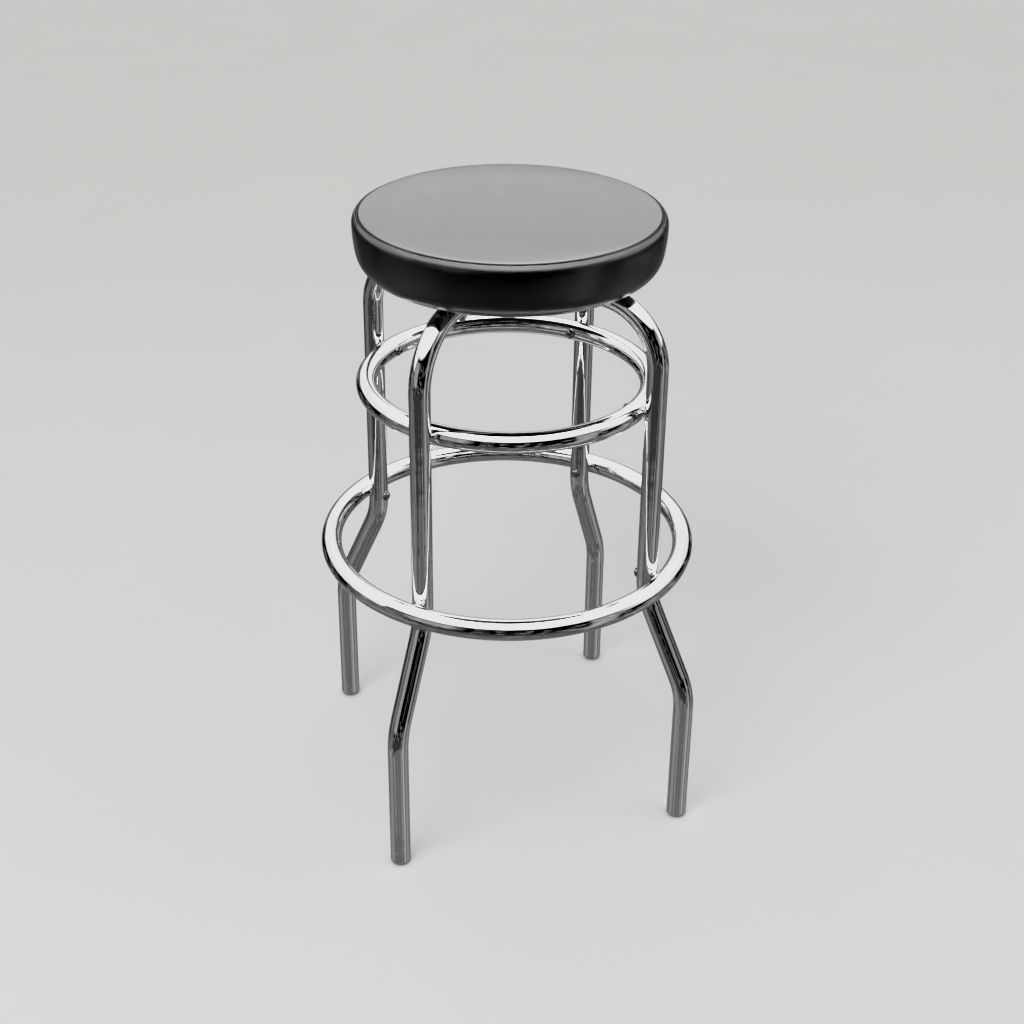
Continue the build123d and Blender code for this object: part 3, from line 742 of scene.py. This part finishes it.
# %% The direction that a reflection looks in
world = bpy.data.worlds.new("studio")
bpy.context.scene.world = world
world.use_nodes = True
tree = world.node_tree
tree.nodes.clear()
direction = add_node(tree, "ShaderNodeTexCoord").outputs["Generated"]
axes = add_node(tree, "ShaderNodeSeparateXYZ", {0: direction})


def height(degrees):
    """Position on a ramp of the height of a direction, from 0 straight down to 1 straight up."""
    return (math.sin(math.radians(degrees)) + 1) / 2


level_of = add_node(
    tree, "ShaderNodeMapRange", {"Value": axes.outputs["Z"], "From Min": -1.0, "From Max": 1.0}
)
around = add_node(
    tree, "ShaderNodeMath", {0: axes.outputs["Y"], 1: axes.outputs["X"]}, operation="ARCTAN2"
)
turn = add_node(
    tree, "ShaderNodeMapRange", {"Value": around.outputs[0], "From Min": -math.pi, "From Max": math.pi}
)


# %% The lights and walls that the chrome mirrors
def compass(degrees):
    """Position on a ramp that runs once round the horizon, from +X towards +Y."""
    return ((degrees + 180) % 360) / 360


def window(centre, half_width, soft, value):
    """Four ramp stops: one soft-edged strip of light."""
    return [
        (compass(centre - half_width - soft), 0.0), (compass(centre - half_width), value),
        (compass(centre + half_width), value), (compass(centre + half_width + soft), 0.0),
    ]


CAMERA_SIDE = -105.1
WALL_BRIGHTNESS = 1.12
level = level_of.outputs["Result"]
bearing = turn.outputs["Result"]

# Each ramp gives brightness either by height or by bearing. A zone limits a shape to some heights.
ramps = {
    "by_height": (level, [
        (height(-90), 0.17), (height(-78), 0.14), (height(-62), 0.09), (height(-47), 0.09),
        (height(-40), 0.14), (height(-33), 0.13), (height(-29), 0.045), (height(-18), 0.035),
        (height(-13), 0.0), (height(30), 0.0), (height(37), 2.6), (height(50), 3.4),
        (height(62), 4.2), (height(72), 9.0), (height(90), 9.0),
    ]),
    "strips": (bearing, sorted(
        window(CAMERA_SIDE - 80, 16, 8, 0.11) + window(CAMERA_SIDE + 58, 6, 4, 0.30)
        + window(CAMERA_SIDE + 100, 10, 5, 0.12) + window(CAMERA_SIDE + 180, 25, 8, 0.10)
    )),
    "strip_zone": (level, [(height(-50), 0.0), (height(-44), 1.0), (height(20), 1.0), (height(28), 0.0)]),
    "back_wall": (bearing, [
        (compass(CAMERA_SIDE + 65), 0.0), (compass(CAMERA_SIDE + 85), WALL_BRIGHTNESS),
        (compass(CAMERA_SIDE - 85), WALL_BRIGHTNESS), (compass(CAMERA_SIDE - 65), 0.0),
    ]),
    "wall_zone": (level, [(height(6), 0.0), (height(10), 1.0), (height(36), 1.0), (height(44), 0.0)]),
    "side_panel": (bearing, window(CAMERA_SIDE - 42, 11, 8, 0.32)),
    "panel_zone": (level, [(height(-10), 0.0), (height(-4), 1.0), (height(22), 1.0), (height(28), 0.0)]),
    "clutter_zone": (level, [(height(-80), 0.0), (height(-60), 1.0), (height(16), 1.0), (height(27), 0.0)]),
}
light = {}
for name, (source, stops) in ramps.items():
    ramp = add_node(tree, "ShaderNodeValToRGB", {0: source}, name=name)
    elements = ramp.color_ramp.elements
    elements.remove(elements[1])
    for i, (position, value) in enumerate(sorted(stops)):
        stop = elements[0] if i == 0 else elements.new(position)
        stop.position = position
        stop.color = (value, value, value, 1)
    light[name] = ramp.outputs["Color"]
print("ramps in the surroundings:", len(light))

# %% Small things about the room
clutter_spots = add_node(
    tree, "ShaderNodeTexNoise", {"Vector": direction, "Scale": 7.0, "Detail": 7, "Roughness": 0.6}
)
clutter = add_node(
    tree, "ShaderNodeMapRange",
    {"Value": clutter_spots.outputs["Fac"],
     "From Min": 0.54, "From Max": 0.66, "To Min": 0.0, "To Max": 0.28},
)
light["clutter"] = clutter.outputs[0]

# %% Add the surroundings up
# Each shape round the horizon shows only in its own zone of height.
surroundings = light["by_height"]
for shape, zone in (
    ("strips", "strip_zone"), ("back_wall", "wall_zone"),
    ("side_panel", "panel_zone"), ("clutter", "clutter_zone"),
):
    shown = add_node(tree, "ShaderNodeMath", {0: light[shape], 1: light[zone]}, operation="MULTIPLY")
    total = add_node(tree, "ShaderNodeMath", {0: surroundings, 1: shown.outputs[0]}, operation="ADD")
    surroundings = total.outputs[0]

mirrored = add_node(tree, "ShaderNodeBackground", {"Color": surroundings, "Strength": 1.0})
ambient = add_node(tree, "ShaderNodeBackground", {"Color": hex_colour("#e6e6e4"), "Strength": 0.85})
ray = add_node(tree, "ShaderNodeLightPath")
either = add_node(
    tree, "ShaderNodeMixShader",
    {0: ray.outputs["Is Glossy Ray"], 1: ambient.outputs[0], 2: mirrored.outputs[0]},
)
add_node(tree, "ShaderNodeOutputWorld", {"Surface": either.outputs[0]})


# %% Lamps
def soft_lamp(name, place, target, size, power):
    lamp = bpy.data.lights.new(name, "AREA")
    lamp.shape = "SQUARE"
    lamp.size = size
    lamp.energy = power
    holder = bpy.data.objects.new(name, lamp)
    holder.location = place
    holder.rotation_euler = (Vector(target) - Vector(place)).to_track_quat("-Z", "Y").to_euler()
    holder.visible_glossy = False
    bpy.context.scene.collection.objects.link(holder)


soft_lamp("key_lamp", (-1.6, -1.4, 2.6), (0, 0, 0.3), 1.8, 45)
soft_lamp("fill_lamp", (2.4, -1.2, 1.8), (0, 0, 0.3), 2.0, 16)

# %% Camera
CAMERA_DISTANCE = 1.8
CAMERA_HEIGHT = 1.401
CAMERA_PITCH = math.radians(26.0)
CAMERA_ROLL = math.radians(0.57)
camera_data = bpy.data.cameras.new("camera")
camera_data.lens = 56.6
camera_data.sensor_width = 36.0
camera_data.shift_x = 0.0037
camera_data.shift_y = -0.10
camera = bpy.data.objects.new("camera", camera_data)
camera.location = (
    CAMERA_DISTANCE * math.cos(math.radians(CAMERA_SIDE)),
    CAMERA_DISTANCE * math.sin(math.radians(CAMERA_SIDE)),
    CAMERA_HEIGHT,
)
facing = Matrix.Rotation(math.radians(CAMERA_SIDE + 90), 3, "Z")
facing @= Matrix.Rotation(math.pi / 2 - CAMERA_PITCH, 3, "X") @ Matrix.Rotation(CAMERA_ROLL, 3, "Z")
camera.rotation_euler = facing.to_euler()
bpy.context.scene.collection.objects.link(camera)
bpy.context.scene.camera = camera

# %% Tone curve
# As on a print, the deepest shadows go to plain black and the highlights stop short of paper white.
view_settings = bpy.context.scene.view_settings
view_settings.view_transform = "Standard"
view_settings.use_curve_mapping = True
tone = view_settings.curve_mapping
tone.black_level = (0.008, 0.008, 0.008)
curve = tone.curves[3]
curve.points[1].location = (1.0, 0.80)
curve.points.new(0.55, 0.55)
tone.extend = "HORIZONTAL"
tone.update()
